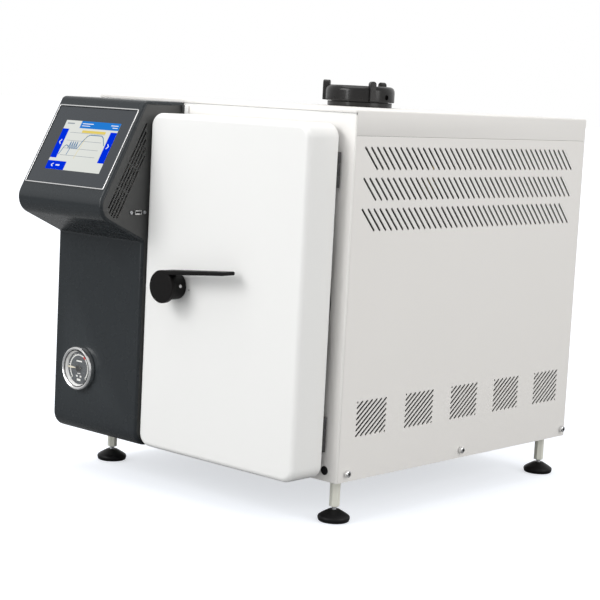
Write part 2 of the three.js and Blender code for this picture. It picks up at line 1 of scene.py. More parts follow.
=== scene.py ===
"""Bench-top steam pressure cabinet: door on the right, slanted control column on the left.

Pieces are drawn in millimetres in the cabinet's own frame. x = 0 is the right side and the
cabinet lies towards -x; y = 0 is the front fascia, with -y in front of it and +y behind;
z = 0 is the lower edge of the side panels, z up.
"""
import bpy
import bmesh
import json
import math
from mathutils import Matrix, Vector


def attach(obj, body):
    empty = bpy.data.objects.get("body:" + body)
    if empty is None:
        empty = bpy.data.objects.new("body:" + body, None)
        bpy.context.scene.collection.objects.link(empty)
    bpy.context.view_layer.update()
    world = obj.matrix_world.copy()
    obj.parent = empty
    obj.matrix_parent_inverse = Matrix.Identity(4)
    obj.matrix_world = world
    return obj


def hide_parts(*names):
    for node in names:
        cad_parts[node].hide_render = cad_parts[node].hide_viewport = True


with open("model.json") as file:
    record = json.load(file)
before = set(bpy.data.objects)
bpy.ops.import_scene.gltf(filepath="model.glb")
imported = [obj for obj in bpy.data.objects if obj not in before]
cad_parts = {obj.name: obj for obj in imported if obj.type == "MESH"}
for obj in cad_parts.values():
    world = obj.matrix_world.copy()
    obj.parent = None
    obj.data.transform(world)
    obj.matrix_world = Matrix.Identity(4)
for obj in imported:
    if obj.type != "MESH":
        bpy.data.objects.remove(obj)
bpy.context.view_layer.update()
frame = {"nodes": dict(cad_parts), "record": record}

CABINET_ORIGIN = (269.0, -218.35, 63.5)  # the cabinet frame's origin in the scene, mm
LEFT_SIDE = -538.0  # x of the left side; the right side is x = 0
collection = bpy.context.scene.collection


def to_scene(point):
    return tuple((value + shift) / 1000 for value, shift in zip(point, CABINET_ORIGIN))


# ------------------------------------------------------------------ outlines, as (u, v) points
def arc(u, v, radius, start, sweep, steps):
    angles = [start + sweep * k / steps for k in range(steps + 1)]
    return [(u + radius * math.cos(a), v + radius * math.sin(a)) for a in angles]


def circle(u, v, radius, steps=20, turn=0.0):
    return arc(u, v, radius, turn, 2 * math.pi, steps)[:-1]


def rectangle(u0, u1, v0, v1):
    return [(u0, v0), (u1, v0), (u1, v1), (u0, v1)]


def rounded_rectangle(u0, u1, v0, v1, radius, steps=8):
    points = []
    centers = rectangle(u0 + radius, u1 - radius, v0 + radius, v1 - radius)
    for (u, v), start in zip(centers, (180, 270, 0, 90)):
        points += arc(u, v, radius, math.radians(start), math.pi / 2, steps)
    return points


def round_corners(corners, steps=8):
    """Polygon with rounded corners, each given as (u, v, radius); radius 0 stays sharp."""
    points = []
    for i, (u, v, radius) in enumerate(corners):
        if not radius:
            points.append((u, v))
            continue
        corner = Vector((u, v))
        back = (Vector(corners[i - 1][:2]) - corner).normalized()
        ahead = (Vector(corners[(i + 1) % len(corners)][:2]) - corner).normalized()
        angle = math.acos(max(-1, min(1, back.dot(ahead))))
        reach = radius / math.tan(angle / 2)
        center = corner + (back + ahead).normalized() * (radius / math.sin(angle / 2))
        first = corner + back * reach - center
        last = corner + ahead * reach - center
        start = math.atan2(first.y, first.x)
        sweep = math.atan2(last.y, last.x) - start
        if sweep > math.pi:
            sweep -= 2 * math.pi
        if sweep < -math.pi:
            sweep += 2 * math.pi
        points += arc(center.x, center.y, radius, start, sweep, steps)
    return points


def slot(start, end, width, steps=5):
    """Round-ended slot between two points."""
    (u0, v0), (u1, v1) = start, end
    along = math.atan2(v1 - v0, u1 - u0) if math.hypot(u1 - u0, v1 - v0) > 1e-6 else 0.0
    return (arc(u1, v1, width / 2, along - math.pi / 2, math.pi, steps)
            + arc(u0, v0, width / 2, along + math.pi / 2, math.pi, steps))


def fillet(radius, steps):
    """(inset, depth) pairs round an edge, from (radius, 0) to (0, radius)."""
    angles = [math.pi / 2 * k / steps for k in range(steps + 1)]
    return [(radius * (1 - math.sin(a)), radius * (1 - math.cos(a))) for a in angles]


# ------------------------------------------------------------------ solids, as (verts, faces)
def on_axis(axis, u, v, h):
    """Point at height h along an axis, with u and v in the other two coordinates."""
    return {"x": (h, u, v), "y": (u, h, v), "z": (u, v, h)}[axis]


def stack(axis, stations):
    """Rings for loft; stations are (height along axis, outline)."""
    return [[on_axis(axis, u, v, h) for u, v in outline] for h, outline in stations]


def loft(rings, close=True, cyclic=False):
    """Skin over equal rings. close joins each ring on itself, cyclic the last to the first."""
    size, count = len(rings[0]), len(rings)
    verts = [point for ring in rings for point in ring]
    faces = []
    for a in range(count if cyclic else count - 1):
        b = (a + 1) % count
        for i in range(size if close else size - 1):
            j = (i + 1) % size
            faces.append((a * size + i, a * size + j, b * size + j, b * size + i))
    if not cyclic:
        faces.append(tuple(range(size))[::-1])
        faces.append(tuple(range((count - 1) * size, count * size)))
    return verts, faces


def prism(axis, outline, h0, h1):
    return loft(stack(axis, [(h0, outline), (h1, outline)]))


def box(x0, x1, y0, y1, z0, z1):
    return prism("z", rectangle(x0, x1, y0, y1), z0, z1)


def lathe(axis, center, profile, steps):
    """Turned solid; profile is (radius, height along axis). Off the axis it closes on itself."""
    verts, faces, rings = [], [], []
    for radius, h in profile:
        if radius < 1e-6:
            rings.append([len(verts)] * steps)
            verts.append(on_axis(axis, *center, h))
        else:
            rings.append(list(range(len(verts), len(verts) + steps)))
            verts += [on_axis(axis, center[0] + u, center[1] + v, h)
                      for u, v in circle(0, 0, radius, steps)]
    closed = profile[0][0] > 1e-6 or profile[-1][0] > 1e-6
    for a in range(len(rings) if closed else len(rings) - 1):
        low, high = rings[a], rings[(a + 1) % len(rings)]
        for i in range(steps):
            j = (i + 1) % steps
            face = tuple(dict.fromkeys((low[i], low[j], high[j], high[i])))
            if len(face) > 2:
                faces.append(face)
    return verts, faces


def cylinder(axis, center, radius, h0, h1, steps):
    return lathe(axis, center, [(0, h0), (radius, h0), (radius, h1), (0, h1)], steps)


def plate(outline, holes, thick, edge, place):
    """Flat plate with holes and rounded edges; place(u, v, w) puts it, w from 0 to thick."""
    curve = bpy.data.curves.new("tmp", "CURVE")
    curve.dimensions = "2D"
    curve.fill_mode = "BOTH"
    curve.extrude = thick / 2 - edge
    curve.bevel_depth = edge
    curve.bevel_resolution = 1
    curve.offset = -edge
    for loop in [outline] + holes:
        spline = curve.splines.new("POLY")
        spline.points.add(len(loop) - 1)
        for point, (u, v) in zip(spline.points, loop):
            point.co = (u, v, 0, 1)
        spline.use_cyclic_u = True
    temp = bpy.data.objects.new("tmp", curve)
    collection.objects.link(temp)
    bpy.context.view_layer.update()
    depsgraph = bpy.context.evaluated_depsgraph_get()
    mesh = bpy.data.meshes.new_from_object(temp.evaluated_get(depsgraph))
    verts = [place(v.co.x, v.co.y, v.co.z + thick / 2) for v in mesh.vertices]
    faces = [tuple(p.vertices) for p in mesh.polygons]
    bpy.data.objects.remove(temp)
    bpy.data.meshes.remove(mesh)
    return verts, faces


def merge(solids):
    verts, faces = [], []
    for more_verts, more_faces in solids:
        base = len(verts)
        verts += more_verts
        faces += [tuple(i + base for i in face) for face in more_faces]
    return verts, faces


# ------------------------------------------------------------------ objects
def new_object(name, solid):
    mesh = bpy.data.meshes.new(name)
    mesh.from_pydata([to_scene(v) for v in solid[0]], [], solid[1])
    ob = bpy.data.objects.new(name, mesh)
    collection.objects.link(ob)
    return ob


def clean(mesh):
    bm = bmesh.new()
    bm.from_mesh(mesh)
    bmesh.ops.remove_doubles(bm, verts=bm.verts, dist=1e-6)
    bmesh.ops.recalc_face_normals(bm, faces=bm.faces)
    bm.to_mesh(mesh)
    bm.free()


def shade(mesh, angle):
    """Smooth shading, sharp at edges steeper than angle in degrees."""
    mesh.shade_smooth()
    mesh.set_sharp_from_angle(angle=math.radians(angle))


def piece(name, solid, look, replaces=None, body="cabinet", angle=32, face_slots=()):
    """Finished object. look is a key of MATERIALS or a list of materials."""
    ob = new_object(name, solid)
    for mat in [MATERIALS[look]] if isinstance(look, str) else look:
        ob.data.materials.append(mat)
    for polygon, index in zip(ob.data.polygons, face_slots):
        polygon.material_index = index
    clean(ob.data)
    shade(ob.data, angle)
    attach(ob, body)
    if replaces:
        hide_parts(replaces)
    return ob


def combine(ob, add=(), cut=(), angle=32):
    """Join the solids of add to an object, then take those of cut away."""
    temps = []
    for operation, solids in (("UNION", add), ("DIFFERENCE", cut)):
        for solid in solids:
            temp = new_object("tmp", solid)
            clean(temp.data)
            temps.append(temp)
            modifier = ob.modifiers.new("b", "BOOLEAN")
            modifier.operation = operation
            modifier.object = temp
            modifier.solver = "EXACT"
    bpy.context.view_layer.update()
    depsgraph = bpy.context.evaluated_depsgraph_get()
    mesh = bpy.data.meshes.new_from_object(ob.evaluated_get(depsgraph))
    materials = list(ob.data.materials)
    ob.modifiers.clear()
    ob.data = mesh
    mesh.materials.clear()
    for mat in materials:
        mesh.materials.append(mat)
    for temp in temps:
        bpy.data.objects.remove(temp)
    shade(mesh, angle)


def bevel(ob, width, segments=2):
    modifier = ob.modifiers.new("bevel", "BEVEL")
    modifier.width = width / 1000
    modifier.segments = segments
    modifier.limit_method = "ANGLE"
    modifier.angle_limit = math.radians(30)
    modifier.harden_normals = True
    modifier.use_clamp_overlap = True


# ------------------------------------------------------------------ shader helpers
def add_noise(tree, vector, scale, detail):
    node = tree.nodes.new("ShaderNodeTexNoise")
    node.inputs["Scale"].default_value = scale
    node.inputs["Detail"].default_value = detail
    tree.links.new(vector, node.inputs["Vector"])
    return node.outputs["Fac"]


def map_range(tree, value, source=(0, 1), target=(0, 1)):
    node = tree.nodes.new("ShaderNodeMapRange")
    for name, number in zip(("From Min", "From Max", "To Min", "To Max"), (*source, *target)):
        node.inputs[name].default_value = number
    tree.links.new(value, node.inputs["Value"])
    return node.outputs["Result"]


def mix_colors(tree, factor, first, second):
    """Mix two colours, each an RGB tuple or a socket."""
    node = tree.nodes.new("ShaderNodeMix")
    node.data_type = "RGBA"
    tree.links.new(factor, node.inputs[0])
    for index, color in ((6, first), (7, second)):  # the colour sockets A and B
        if isinstance(color, tuple):
            node.inputs[index].default_value = (*color, 1)
        else:
            tree.links.new(color, node.inputs[index])
    return node.outputs[2]  # the colour result


def mottle(tree, factor, color, spread):
    """Vary a colour up and down by the fraction spread."""
    low = tuple(v * (1 - spread) for v in color)
    high = tuple(min(1, v * (1 + spread)) for v in color)
    return mix_colors(tree, factor, low, high)


def new_material(name):
    """Material, its tree, its main shader and its object coordinates."""
    mat = bpy.data.materials.new(name)
    mat.use_nodes = True
    tree = mat.node_tree
    coords = tree.nodes.new("ShaderNodeTexCoord").outputs["Object"]
    return mat, tree, tree.nodes["Principled BSDF"], coords


def material(name, color, rough, metal=0.0, tint=0.04, tint_scale=6, rough_var=0.05,
             rough_scale=40, bump=0.0, bump_scale=1500, bump_depth=0.0002, coat=0.0,
             coat_rough=0.1, specular=0.5, stretch=None, alpha=None, edge_highlight=None):
    """Noise-varied surface.

    tint and rough_var are how far colour and roughness stray; stretch scales the bump's
    coordinates per axis; the edge colour given last is a painted highlight, a lighter colour laid
    on convex edges.
    """
    mat, tree, shader, coords = new_material(name)
    result = mottle(tree, add_noise(tree, coords, tint_scale, 4), color, tint)
    # painted highlight: a lighter colour mixed in where the surface has convex edges
    if edge_highlight:
        geometry = tree.nodes.new("ShaderNodeNewGeometry")
        highlight_edges = map_range(tree, geometry.outputs["Pointiness"], source=(0.53, 0.62))
        result = mix_colors(tree, highlight_edges, result, edge_highlight)
    tree.links.new(result, shader.inputs["Base Color"])
    limits = (max(0.02, rough - rough_var), min(1, rough + rough_var))
    roughness = map_range(tree, add_noise(tree, coords, rough_scale, 5), target=limits)
    tree.links.new(roughness, shader.inputs["Roughness"])
    shader.inputs["Metallic"].default_value = metal
    shader.inputs["Specular IOR Level"].default_value = specular
    if coat:
        shader.inputs["Coat Weight"].default_value = coat
        shader.inputs["Coat Roughness"].default_value = coat_rough
    if alpha is not None:
        shader.inputs["Alpha"].default_value = alpha
    if bump:
        if stretch:
            mapping = tree.nodes.new("ShaderNodeMapping")
            mapping.inputs["Scale"].default_value = stretch
            tree.links.new(coords, mapping.inputs["Vector"])
            coords = mapping.outputs["Vector"]
        height = add_noise(tree, coords, bump_scale, 3)
        node = tree.nodes.new("ShaderNodeBump")
        node.inputs["Strength"].default_value = bump
        node.inputs["Distance"].default_value = bump_depth
        tree.links.new(height, node.inputs["Height"])
        tree.links.new(node.outputs["Normal"], shader.inputs["Normal"])
    return mat


def glow(name, color, strength):
    """Lit paint of the display picture."""
    mat, tree, shader, coords = new_material(name)
    result = mottle(tree, add_noise(tree, coords, 12, 2), color, 0.04)
    tree.links.new(result, shader.inputs["Emission Color"])
    shader.inputs["Emission Strength"].default_value = strength
    shader.inputs["Base Color"].default_value = (0.0, 0.0, 0.0, 1)
    shader.inputs["Roughness"].default_value = 0.9
    shader.inputs["Specular IOR Level"].default_value = 0.0
    return mat


# ------------------------------------------------------------------ materials
# the lighter edge colours in these looks are painted highlights on convex edges
LOOKS = {
    "powder_white": dict(color=(0.83, 0.812, 0.785), rough=0.5, tint=0.012, bump=0.12,
                         bump_scale=900, bump_depth=0.0003, coat=0.06, coat_rough=0.4),
    "door_white": dict(color=(0.87, 0.87, 0.855), rough=0.34, tint=0.008, rough_var=0.04,
                       bump=0.06, bump_scale=260, bump_depth=0.0004, coat=0.25,
                       coat_rough=0.18),
    "anthracite_gloss": dict(color=(0.0225, 0.0265, 0.0295), rough=0.27, tint=0.06, bump=0.012,
                             bump_scale=420, specular=0.3, edge_highlight=(0.04, 0.046, 0.05)),
    "anthracite_matt": dict(color=(0.064, 0.065, 0.064), rough=0.58, tint=0.08, rough_var=0.08,
                            bump=0.3, bump_scale=1400, bump_depth=0.0003),
    "zinc_steel": dict(color=(0.6, 0.61, 0.63), rough=0.38, metal=1.0, tint=0.1, tint_scale=60,
                       rough_var=0.12, bump=0.08, bump_scale=600),
    "polished_steel": dict(color=(0.78, 0.78, 0.78), rough=0.2, metal=1.0, tint=0.05,
                           rough_var=0.06, rough_scale=120, bump=0.03, bump_scale=900,
                           bump_depth=0.0001),
    "stainless": dict(color=(0.66, 0.66, 0.65), rough=0.3, metal=1.0, tint=0.05,
                      rough_var=0.08, bump=0.16, bump_scale=60, stretch=(1, 14, 14)),
    "silicone": dict(color=(0.72, 0.69, 0.6), rough=0.55, tint=0.05, bump=0.1, bump_scale=700),
    "brass": dict(color=(0.6, 0.44, 0.18), rough=0.3, metal=1.0, tint=0.12, tint_scale=50,
                  rough_var=0.1, bump=0.06, bump_scale=500),
    "tank_plastic": dict(color=(0.10, 0.105, 0.105), rough=0.5, tint=0.06, bump=0.05,
                         bump_scale=300),
    "black_plastic": dict(color=(0.0065, 0.006, 0.0058), rough=0.3, tint=0.15, rough_var=0.08,
                          rough_scale=300, bump=0.3, bump_scale=520, specular=0.2, coat=0.3,
                          coat_rough=0.16, edge_highlight=(0.022, 0.021, 0.02)),
    "copper": dict(color=(0.7, 0.36, 0.2), rough=0.3, metal=1.0, tint=0.15, tint_scale=40,
                   rough_var=0.1, bump=0.05, bump_scale=400),
    "black_rubber": dict(color=(0.006, 0.006, 0.0065), rough=0.42, specular=0.22, tint=0.2,
                         rough_var=0.1, rough_scale=80, bump=0.2, bump_scale=800,
                         bump_depth=0.0003, edge_highlight=(0.016, 0.016, 0.017)),
    "spacer_cream": dict(color=(0.84, 0.84, 0.75), rough=0.42, rough_var=0.06, bump=0.06,
                         bump_scale=500),
    "display_glass": dict(color=(0.012, 0.017, 0.023), rough=0.12, tint=0.1, tint_scale=3,
                          rough_var=0.03, bump=0.01, bump_scale=100, coat=0.4,
                          coat_rough=0.05),
    "circuit_board": dict(color=(0.015, 0.13, 0.05), rough=0.45, tint=0.3, tint_scale=220,
                          rough_var=0.1, bump=0.1, bump_scale=600),
    "gauge_dial": dict(color=(0.055, 0.062, 0.07), rough=0.6, tint=0.08, bump=0.05,
                       bump_scale=900),
    "needle_cream": dict(color=(0.82, 0.76, 0.6), rough=0.45, bump=0.03, bump_scale=900),
    "clear_glass": dict(color=(0.98, 0.99, 0.99), rough=0.05, tint=0.01, rough_var=0.02,
                        alpha=0.03),
    "dial_print": dict(color=(0.85, 0.85, 0.82), rough=0.6, tint=0.03, bump=0.02,
                       bump_scale=900),
    "dial_red": dict(color=(0.7, 0.03, 0.02), rough=0.5, tint=0.05, bump=0.02, bump_scale=900),
    "handle_black": dict(color=(0.0055, 0.005, 0.005), rough=0.5, specular=0.13, tint=0.12,
                         rough_var=0.08, rough_scale=200, bump=0.25, bump_scale=900,
                         bump_depth=0.0003, edge_highlight=(0.02, 0.019, 0.0185)),
    # black steel for the hinges: painted shade, dark so that they read as the shadowed gap beside
    # the door
    "black_steel": dict(color=(0.028, 0.028, 0.029), rough=0.42, metal=0.35, tint=0.12,
                        tint_scale=40, rough_var=0.08, bump=0.15, bump_scale=700,
                        edge_highlight=(0.09, 0.09, 0.092)),
    # dark steel: painted shade for the vessel's outside and the band heater, which show through
    # the side slots
    "painted_shade_steel": dict(color=(0.05, 0.047, 0.044), rough=0.6, metal=0.6, tint=0.25,
                         tint_scale=14, rough_var=0.1, bump=0.2, bump_scale=300),
    "gauge_ring": dict(color=(0.93, 0.93, 0.91), rough=0.4, tint=0.02, bump=0.03,
                       bump_scale=500),
    "lip_white": dict(color=(0.86, 0.86, 0.85), rough=0.5, tint=0.01, bump=0.05,
                      bump_scale=500),
    "index_grey": dict(color=(0.33, 0.33, 0.32), rough=0.5, tint=0.05, bump=0.05,
                       bump_scale=500),
    "insulation": dict(color=(0.55, 0.53, 0.47), rough=0.9, tint=0.12, tint_scale=30, bump=0.8,
                       bump_scale=260, bump_depth=0.002),
}
MATERIALS = {name: material(name, **look) for name, look in LOOKS.items()}

# ------------------------------------------------------------------ the frame's own pieces
look_of_node = {part["node"]: part["material_slot"] for part in frame["record"]["subparts"]}
# the band heater takes the dark steel of painted shade, so it reads dark through the slots
look_of_node["band_heater"] = "painted_shade_steel"
for node, ob in frame["nodes"].items():
    ob.data.materials.clear()
    ob.data.materials.append(MATERIALS[look_of_node[node]])
    shade(ob.data, 32)

EDGE_WIDTHS = {  # bevel width: nodes
    0.2: "main_board steam_pipe fill_pipe",
    0.25: "hinge_bracket_upper hinge_bracket_lower hinge_leaf_upper hinge_leaf_lower",
    0.3: "handle_shaft",
    0.35: "rear_panel front_fascia",
    0.4: "base_chassis vessel_cradle",
    0.5: "top_cover door_plate latch_plate latch_keeper power_inlet switch_frame "
         "solenoid_valve safety_valve band_heater latch_bolt",
    0.6: "rocker_switch",
    0.8: "water_pump water_tank",
}
for width, nodes in EDGE_WIDTHS.items():
    for node in nodes.split():
        weld = frame["nodes"][node].modifiers.new("weld", "WELD")
        weld.merge_threshold = 1e-5
        bevel(frame["nodes"][node], width)

# ------------------------------------------------------------------ side panels
SLOT_WIDTH = 3.4
SCREW_Y = {"front": 20.3, "middle": 292.7, "rear": 574.1}
SCREW_Z = 12.8
SCREWS = {"right": ("front", "middle", "rear"), "left": ("front", "rear")}
VENT_WIDTH, VENT_BOTTOM, VENT_TOP = 69, 63.4, 116


def vent_slots():
    """Five rectangles of slanted slots low on the panel, each slot clipped to its rectangle."""
    slots = []
    height = VENT_TOP - VENT_BOTTOM
    slope = height / VENT_WIDTH
    for vent in range(5):
        y = 35.6 + 112 * vent
        for k in range(-6, 7):
            rise = 8.2 * k
            start = max(0, -rise / slope) + 2.2
            end = min(VENT_WIDTH, (height - rise) / slope) - 2.2
            if end - start < 0.3:
                start = end = (start + end) / 2
            slots.append(slot((y + start, VENT_BOTTOM + rise + start * slope),
                              (y + end, VENT_BOTTOM + rise + end * slope), SLOT_WIDTH))
    return slots


def band_slots():
    """Three rows of short slots, higher up, that lean the other way."""
    starts = [(24 + 13.1 * i, z) for z in (361, 404.5, 448) for i in range(39)]
    return [slot((y, z + 30), (y + 28, z), SLOT_WIDTH) for y, z in starts]


def side_panel(side, x0, slots):
    holes = slots + [circle(SCREW_Y[tag], SCREW_Z, 2.6) for tag in SCREWS[side]]
    solid = plate(rectangle(3.1, 585, 0, 494), holes, 1.5, 0.25, lambda y, z, w: (x0 + w, y, z))
    piece(side + "_panel_skin", solid, "powder_white", side + "_side_panel")


side_panel("right", -1.5, vent_slots() + band_slots())
side_panel("left", LEFT_SIDE, vent_slots())

# ------------------------------------------------------------------ control column shell
COLUMN_RIGHT = -344.3
COLUMN_TOP = 525.7
COLUMN_WALL = 5.2
SLOPE_TOP_Y = -77.5  # the slanted face starts here, at the column's top
COLUMN_CORNERS = [  # y, z, corner radius
    (-0.5, COLUMN_TOP, 0), (SLOPE_TOP_Y, COLUMN_TOP, 10), (-170.4, 357.6, 26.9),
    (-75.0, 314.5, 4), (-75.0, 0, 25), (-0.5, 0, 0),
]
UNDERCUT_CORNER = 3  # the one concave corner, under the nose
SLOPE_Y, SLOPE_Z = -0.4841, -0.875  # direction down the slanted face
GAUGE = (-474.8, 103.0)  # x, z of the gauge axis


def column_profile(inset):
    """Column seen from the side, (y, z), drawn in by inset except at its back edge."""
    count = len(COLUMN_CORNERS)
    lines = []
    for i, (y, z, _) in enumerate(COLUMN_CORNERS):
        next_y, next_z, _ = COLUMN_CORNERS[(i + 1) % count]
        length = math.hypot(next_y - y, next_z - z)
        dy, dz = (next_y - y) / length, (next_z - z) / length
        shift = 0 if i == count - 1 else inset
        lines.append((y - dz * shift, z + dy * shift, dy, dz))
    corners = []
    for i, (_, _, radius) in enumerate(COLUMN_CORNERS):
        y0, z0, dy0, dz0 = lines[i - 1]
        y1, z1, dy1, dz1 = lines[i]
        along = ((y1 - y0) * dz1 - (z1 - z0) * dy1) / (dy0 * dz1 - dz0 * dy1)
        if radius:
            radius = max(0.5, radius + inset if i == UNDERCUT_CORNER else radius - inset)
        corners.append((y0 + dy0 * along, z0 + dz0 * along, radius))
    return round_corners(corners, 10)


def on_slope(down, out):
    """(y, z) of a point down the slanted face and out from it."""
    return (SLOPE_TOP_Y + SLOPE_Y * down + SLOPE_Z * out,
            COLUMN_TOP + SLOPE_Z * down - SLOPE_Y * out)


def slope_box(x0, x1, down0, down1, out0, out1):
    return prism("x", [on_slope(*p) for p in rectangle(down0, down1, out0, out1)][:4], x0, x1)


def slope_plate(outline, holes, out0, out1, edge):
    """Plate on the slanted face; its outline is in (x, down)."""
    return plate(outline, holes, out1 - out0, edge, lambda x, s, w: (x, *on_slope(s, out0 + w)))


# (x, inset) round the right edge, then the same mirrored for the left
sections = [(COLUMN_RIGHT - 1.8, COLUMN_WALL), (COLUMN_RIGHT - 0.15, 5.0)]
sections += [(COLUMN_RIGHT - depth, inset) for inset, depth in fillet(4.6, 7)]
sections += [(LEFT_SIDE + (COLUMN_RIGHT - x), inset) for x, inset in reversed(sections)]
rings = stack("x", [(x, column_profile(inset)) for x, inset in sections])
verts, faces = loft(rings, close=False, cyclic=True)
size = len(rings[0])
# close the wall's two ends at the back
faces.append(tuple(a * size for a in range(len(rings))))
faces.append(tuple(a * size + size - 1 for a in reversed(range(len(rings)))))
shell = piece("control_column_shell", (verts, faces), "anthracite_gloss", "control_shell",
              angle=40)
combine(shell, cut=[slope_box(-529.3, -352.3, 17.9, 149.2, -12, 6),
                    cylinder("y", GAUGE, 32.1, -85, -60, 64)], angle=40)

# ------------------------------------------------------------------ column cheeks
PORT_Y, PORT_Z = -86.5, 359.4
CHEEK_SLOTS = [  # start and end down the slope, depth below it
    (28.7, 170.3, 19.5), (40.2, 175.6, 24.9), (50.2, 177.4, 30.3), (60.9, 177.7, 35.7),
    (71.7, 175.4, 41.2),
]


def cheek(name, x0, holes, replaces):
    solid = plate(column_profile(COLUMN_WALL), holes, 1.6, 0.2, lambda y, z, w: (x0 + w, y, z))
    piece(name, solid, "anthracite_matt", replaces)


def d_outline(width, height, radius, taper, steps):
    """Outline of the service port, its lower edge shorter at the rear by taper."""
    y0, y1 = PORT_Y - width / 2, PORT_Y + width / 2
    z0, z1 = PORT_Z - height / 2, PORT_Z + height / 2
    corners = [(y0, z0), (y1 - taper, z0), (y1, z1), (y0, z1)]
    return round_corners([(y, z, radius) for y, z in corners], steps)


holes = []
for start, end, depth in CHEEK_SLOTS:
    for a, b in ((start, 93), (97.5, 132.5), (137, end)):
        holes.append(slot(on_slope(a, -depth), on_slope(b, -depth), 2.7, 4))
holes.append(rounded_rectangle(-48, -32, 247, 268, 2, 3))
holes.append(d_outline(14.4, 7.2, 1.6, 0, 3))
cheek("control_cheek_vented", -346.7, holes, "control_cheek_right")
cheek("control_cheek_plain", -537.6, [], "control_cheek_left")

# ------------------------------------------------------------------ display
TRIM_OUTER = rounded_rectangle(-531.8, -349.8, 15.4, 151.7, 2.5)  # x, then down the slope
TRIM_INNER = rounded_rectangle(-530.0, -351.6, 17.2, 149.9, 1.6)
COVER_GLASS = rounded_rectangle(-529.0, -352.6, 18.2, 148.9, 1.4)
piece("display_trim_ring", slope_plate(TRIM_OUTER, [TRIM_INNER], -0.1, 1.2, 0.35),
      "polished_steel", "display_trim")
piece("display_cover_glass", slope_plate(COVER_GLASS, [], -3.4, -0.2, 0.3), "display_glass",
      "touch_display")
piece("display_housing", slope_box(-512.8, -362.8, 28, 138, -11, -3.6), "anthracite_matt")

LIT_LEFT, LIT_TOP = -500.3, 41.5  # x, and distance down the slope
LIT_WIDTH, LIT_HEIGHT = 125.0, 85.0
PAINTS = {  # color, strength
    "white": ((0.78, 0.80, 0.76), 0.95),
    "header": ((0.02, 0.22, 0.72), 0.9),
    "yellow": ((0.86, 0.68, 0.16), 0.9),
    "blue": ((0.0, 0.03, 0.76), 0.95),
    "grey": ((0.42, 0.46, 0.5), 0.8),
    "line": ((0.16, 0.3, 0.5), 0.8),
    "mark": ((0.9, 0.93, 0.98), 1.0),
}


def bars(rows):
    """Lit rectangles as shapes: (outline, paint, level)."""
    return [(rectangle(*row[:4]), row[4], row[5]) for row in rows]


def stroke(points, width, paint):
    """Lit line of a width in mm, one shape per segment."""
    shapes = []
    for (u0, v0), (u1, v1) in zip(points, points[1:]):
        du, dv = (u1 - u0) * LIT_WIDTH, (v1 - v0) * LIT_HEIGHT
        length = math.hypot(du, dv)
        nu, nv = -dv / length * width / 2 / LIT_WIDTH, du / length * width / 2 / LIT_HEIGHT
        outline = [(u0 + nu, v0 + nv), (u1 + nu, v1 + nv), (u1 - nu, v1 - nv), (u0 - nu, v0 - nv)]
        shapes.append((outline, paint, 3))
    return shapes


def lit_shape(outline, level):
    """Thin slab on the glass; higher levels lie further out."""
    low = -0.19 + 0.05 * (level - 1)
    verts = []
    for out in (low, low + 0.046):
        verts += [(LIT_LEFT + u * LIT_WIDTH, *on_slope(LIT_TOP + v * LIT_HEIGHT, out))
                  for u, v in outline]
    n = len(outline)
    faces = [tuple(range(n)), tuple(reversed(range(n, 2 * n)))]
    faces += [(i, n + i, n + (i + 1) % n, (i + 1) % n) for i in range(n)]
    return verts, faces


# The picture, in fractions of the lit area across and down
curve = [(0.13, 0.70), (0.17, 0.53), (0.20, 0.50), (0.24, 0.52)]
for k in range(4):
    u = 0.25 + 0.04 * k
    curve += [(u, 0.56), (u + 0.013, 0.42), (u + 0.026, 0.56)]
curve += [(0.42, 0.54), (0.46, 0.40), (0.51, 0.30), (0.55, 0.27), (0.76, 0.27), (0.80, 0.31),
          (0.865, 0.46)]
shapes = bars([  # left, right, top, bottom, paint, level
    (0, 1, 0, 1, "white", 1),
    (0.29, 1.0, 0.0, 0.145, "header", 2),
    (0.37, 0.80, 0.185, 0.235, "yellow", 2),
    (0.0, 0.115, 0.175, 0.77, "blue", 2),
    (0.885, 1.0, 0.185, 0.80, "blue", 2),
    (0.0, 0.34, 0.83, 1.0, "blue", 2),
])
shapes += bars([(0.16, 0.80, v, v + 0.008, "grey", 2) for v in (0.24, 0.40, 0.56, 0.70)])
shapes += stroke(curve, 1.5, "line")
shapes += stroke([(0.27, 0.70), (0.29, 0.54)], 1.3, "line")
shapes += stroke([(0.43, 0.76), (0.50, 0.26)], 0.6, "yellow")
shapes += stroke([(0.075, 0.40), (0.045, 0.445), (0.075, 0.49)], 1.6, "mark")
shapes += stroke([(0.925, 0.42), (0.955, 0.465), (0.925, 0.51)], 1.6, "mark")
shapes += stroke([(0.12, 0.885), (0.085, 0.915), (0.12, 0.945)], 1.5, "mark")
shapes += bars([
    (0.17, 0.24, 0.90, 0.925, "mark", 3),
    (0.04, 0.17, 0.05, 0.075, "grey", 2),
    (0.32, 0.52, 0.045, 0.06, "mark", 3),
    (0.32, 0.47, 0.09, 0.103, "mark", 3),
    (0.84, 0.97, 0.045, 0.06, "mark", 3),
    (0.88, 0.97, 0.09, 0.103, "mark", 3),
])
paint_slots = []
for outline, paint, _ in shapes:
    paint_slots += [list(PAINTS).index(paint)] * (len(outline) + 2)
piece("display_picture", merge([lit_shape(outline, level) for outline, _, level in shapes]),
      [glow("ui_" + name, *paint) for name, paint in PAINTS.items()],
      angle=20, face_slots=paint_slots)

# ------------------------------------------------------------------ service port, right cheek
outer = d_outline(13.2, 6.8, 1.3, 0.8, 4)
inner = d_outline(11.9, 5.6, 0.9, 0.8, 4)
rim = [(y + (PORT_Y - y) * 0.02, z + (PORT_Z - z) * 0.02) for y, z in outer]
stations = [(-348.9, outer), (-342.2, outer), (-341.8, rim), (-341.8, inner), (-345.5, inner)]
piece("port_shell", loft(stack("x", stations)), "polished_steel", "service_port")
insert = box(-345.9, -344.9, PORT_Y - 5.2, PORT_Y + 5.2, PORT_Z - 1.5, PORT_Z + 1.5)
bevel(piece("port_insert", insert, "black_plastic"), 0.3)

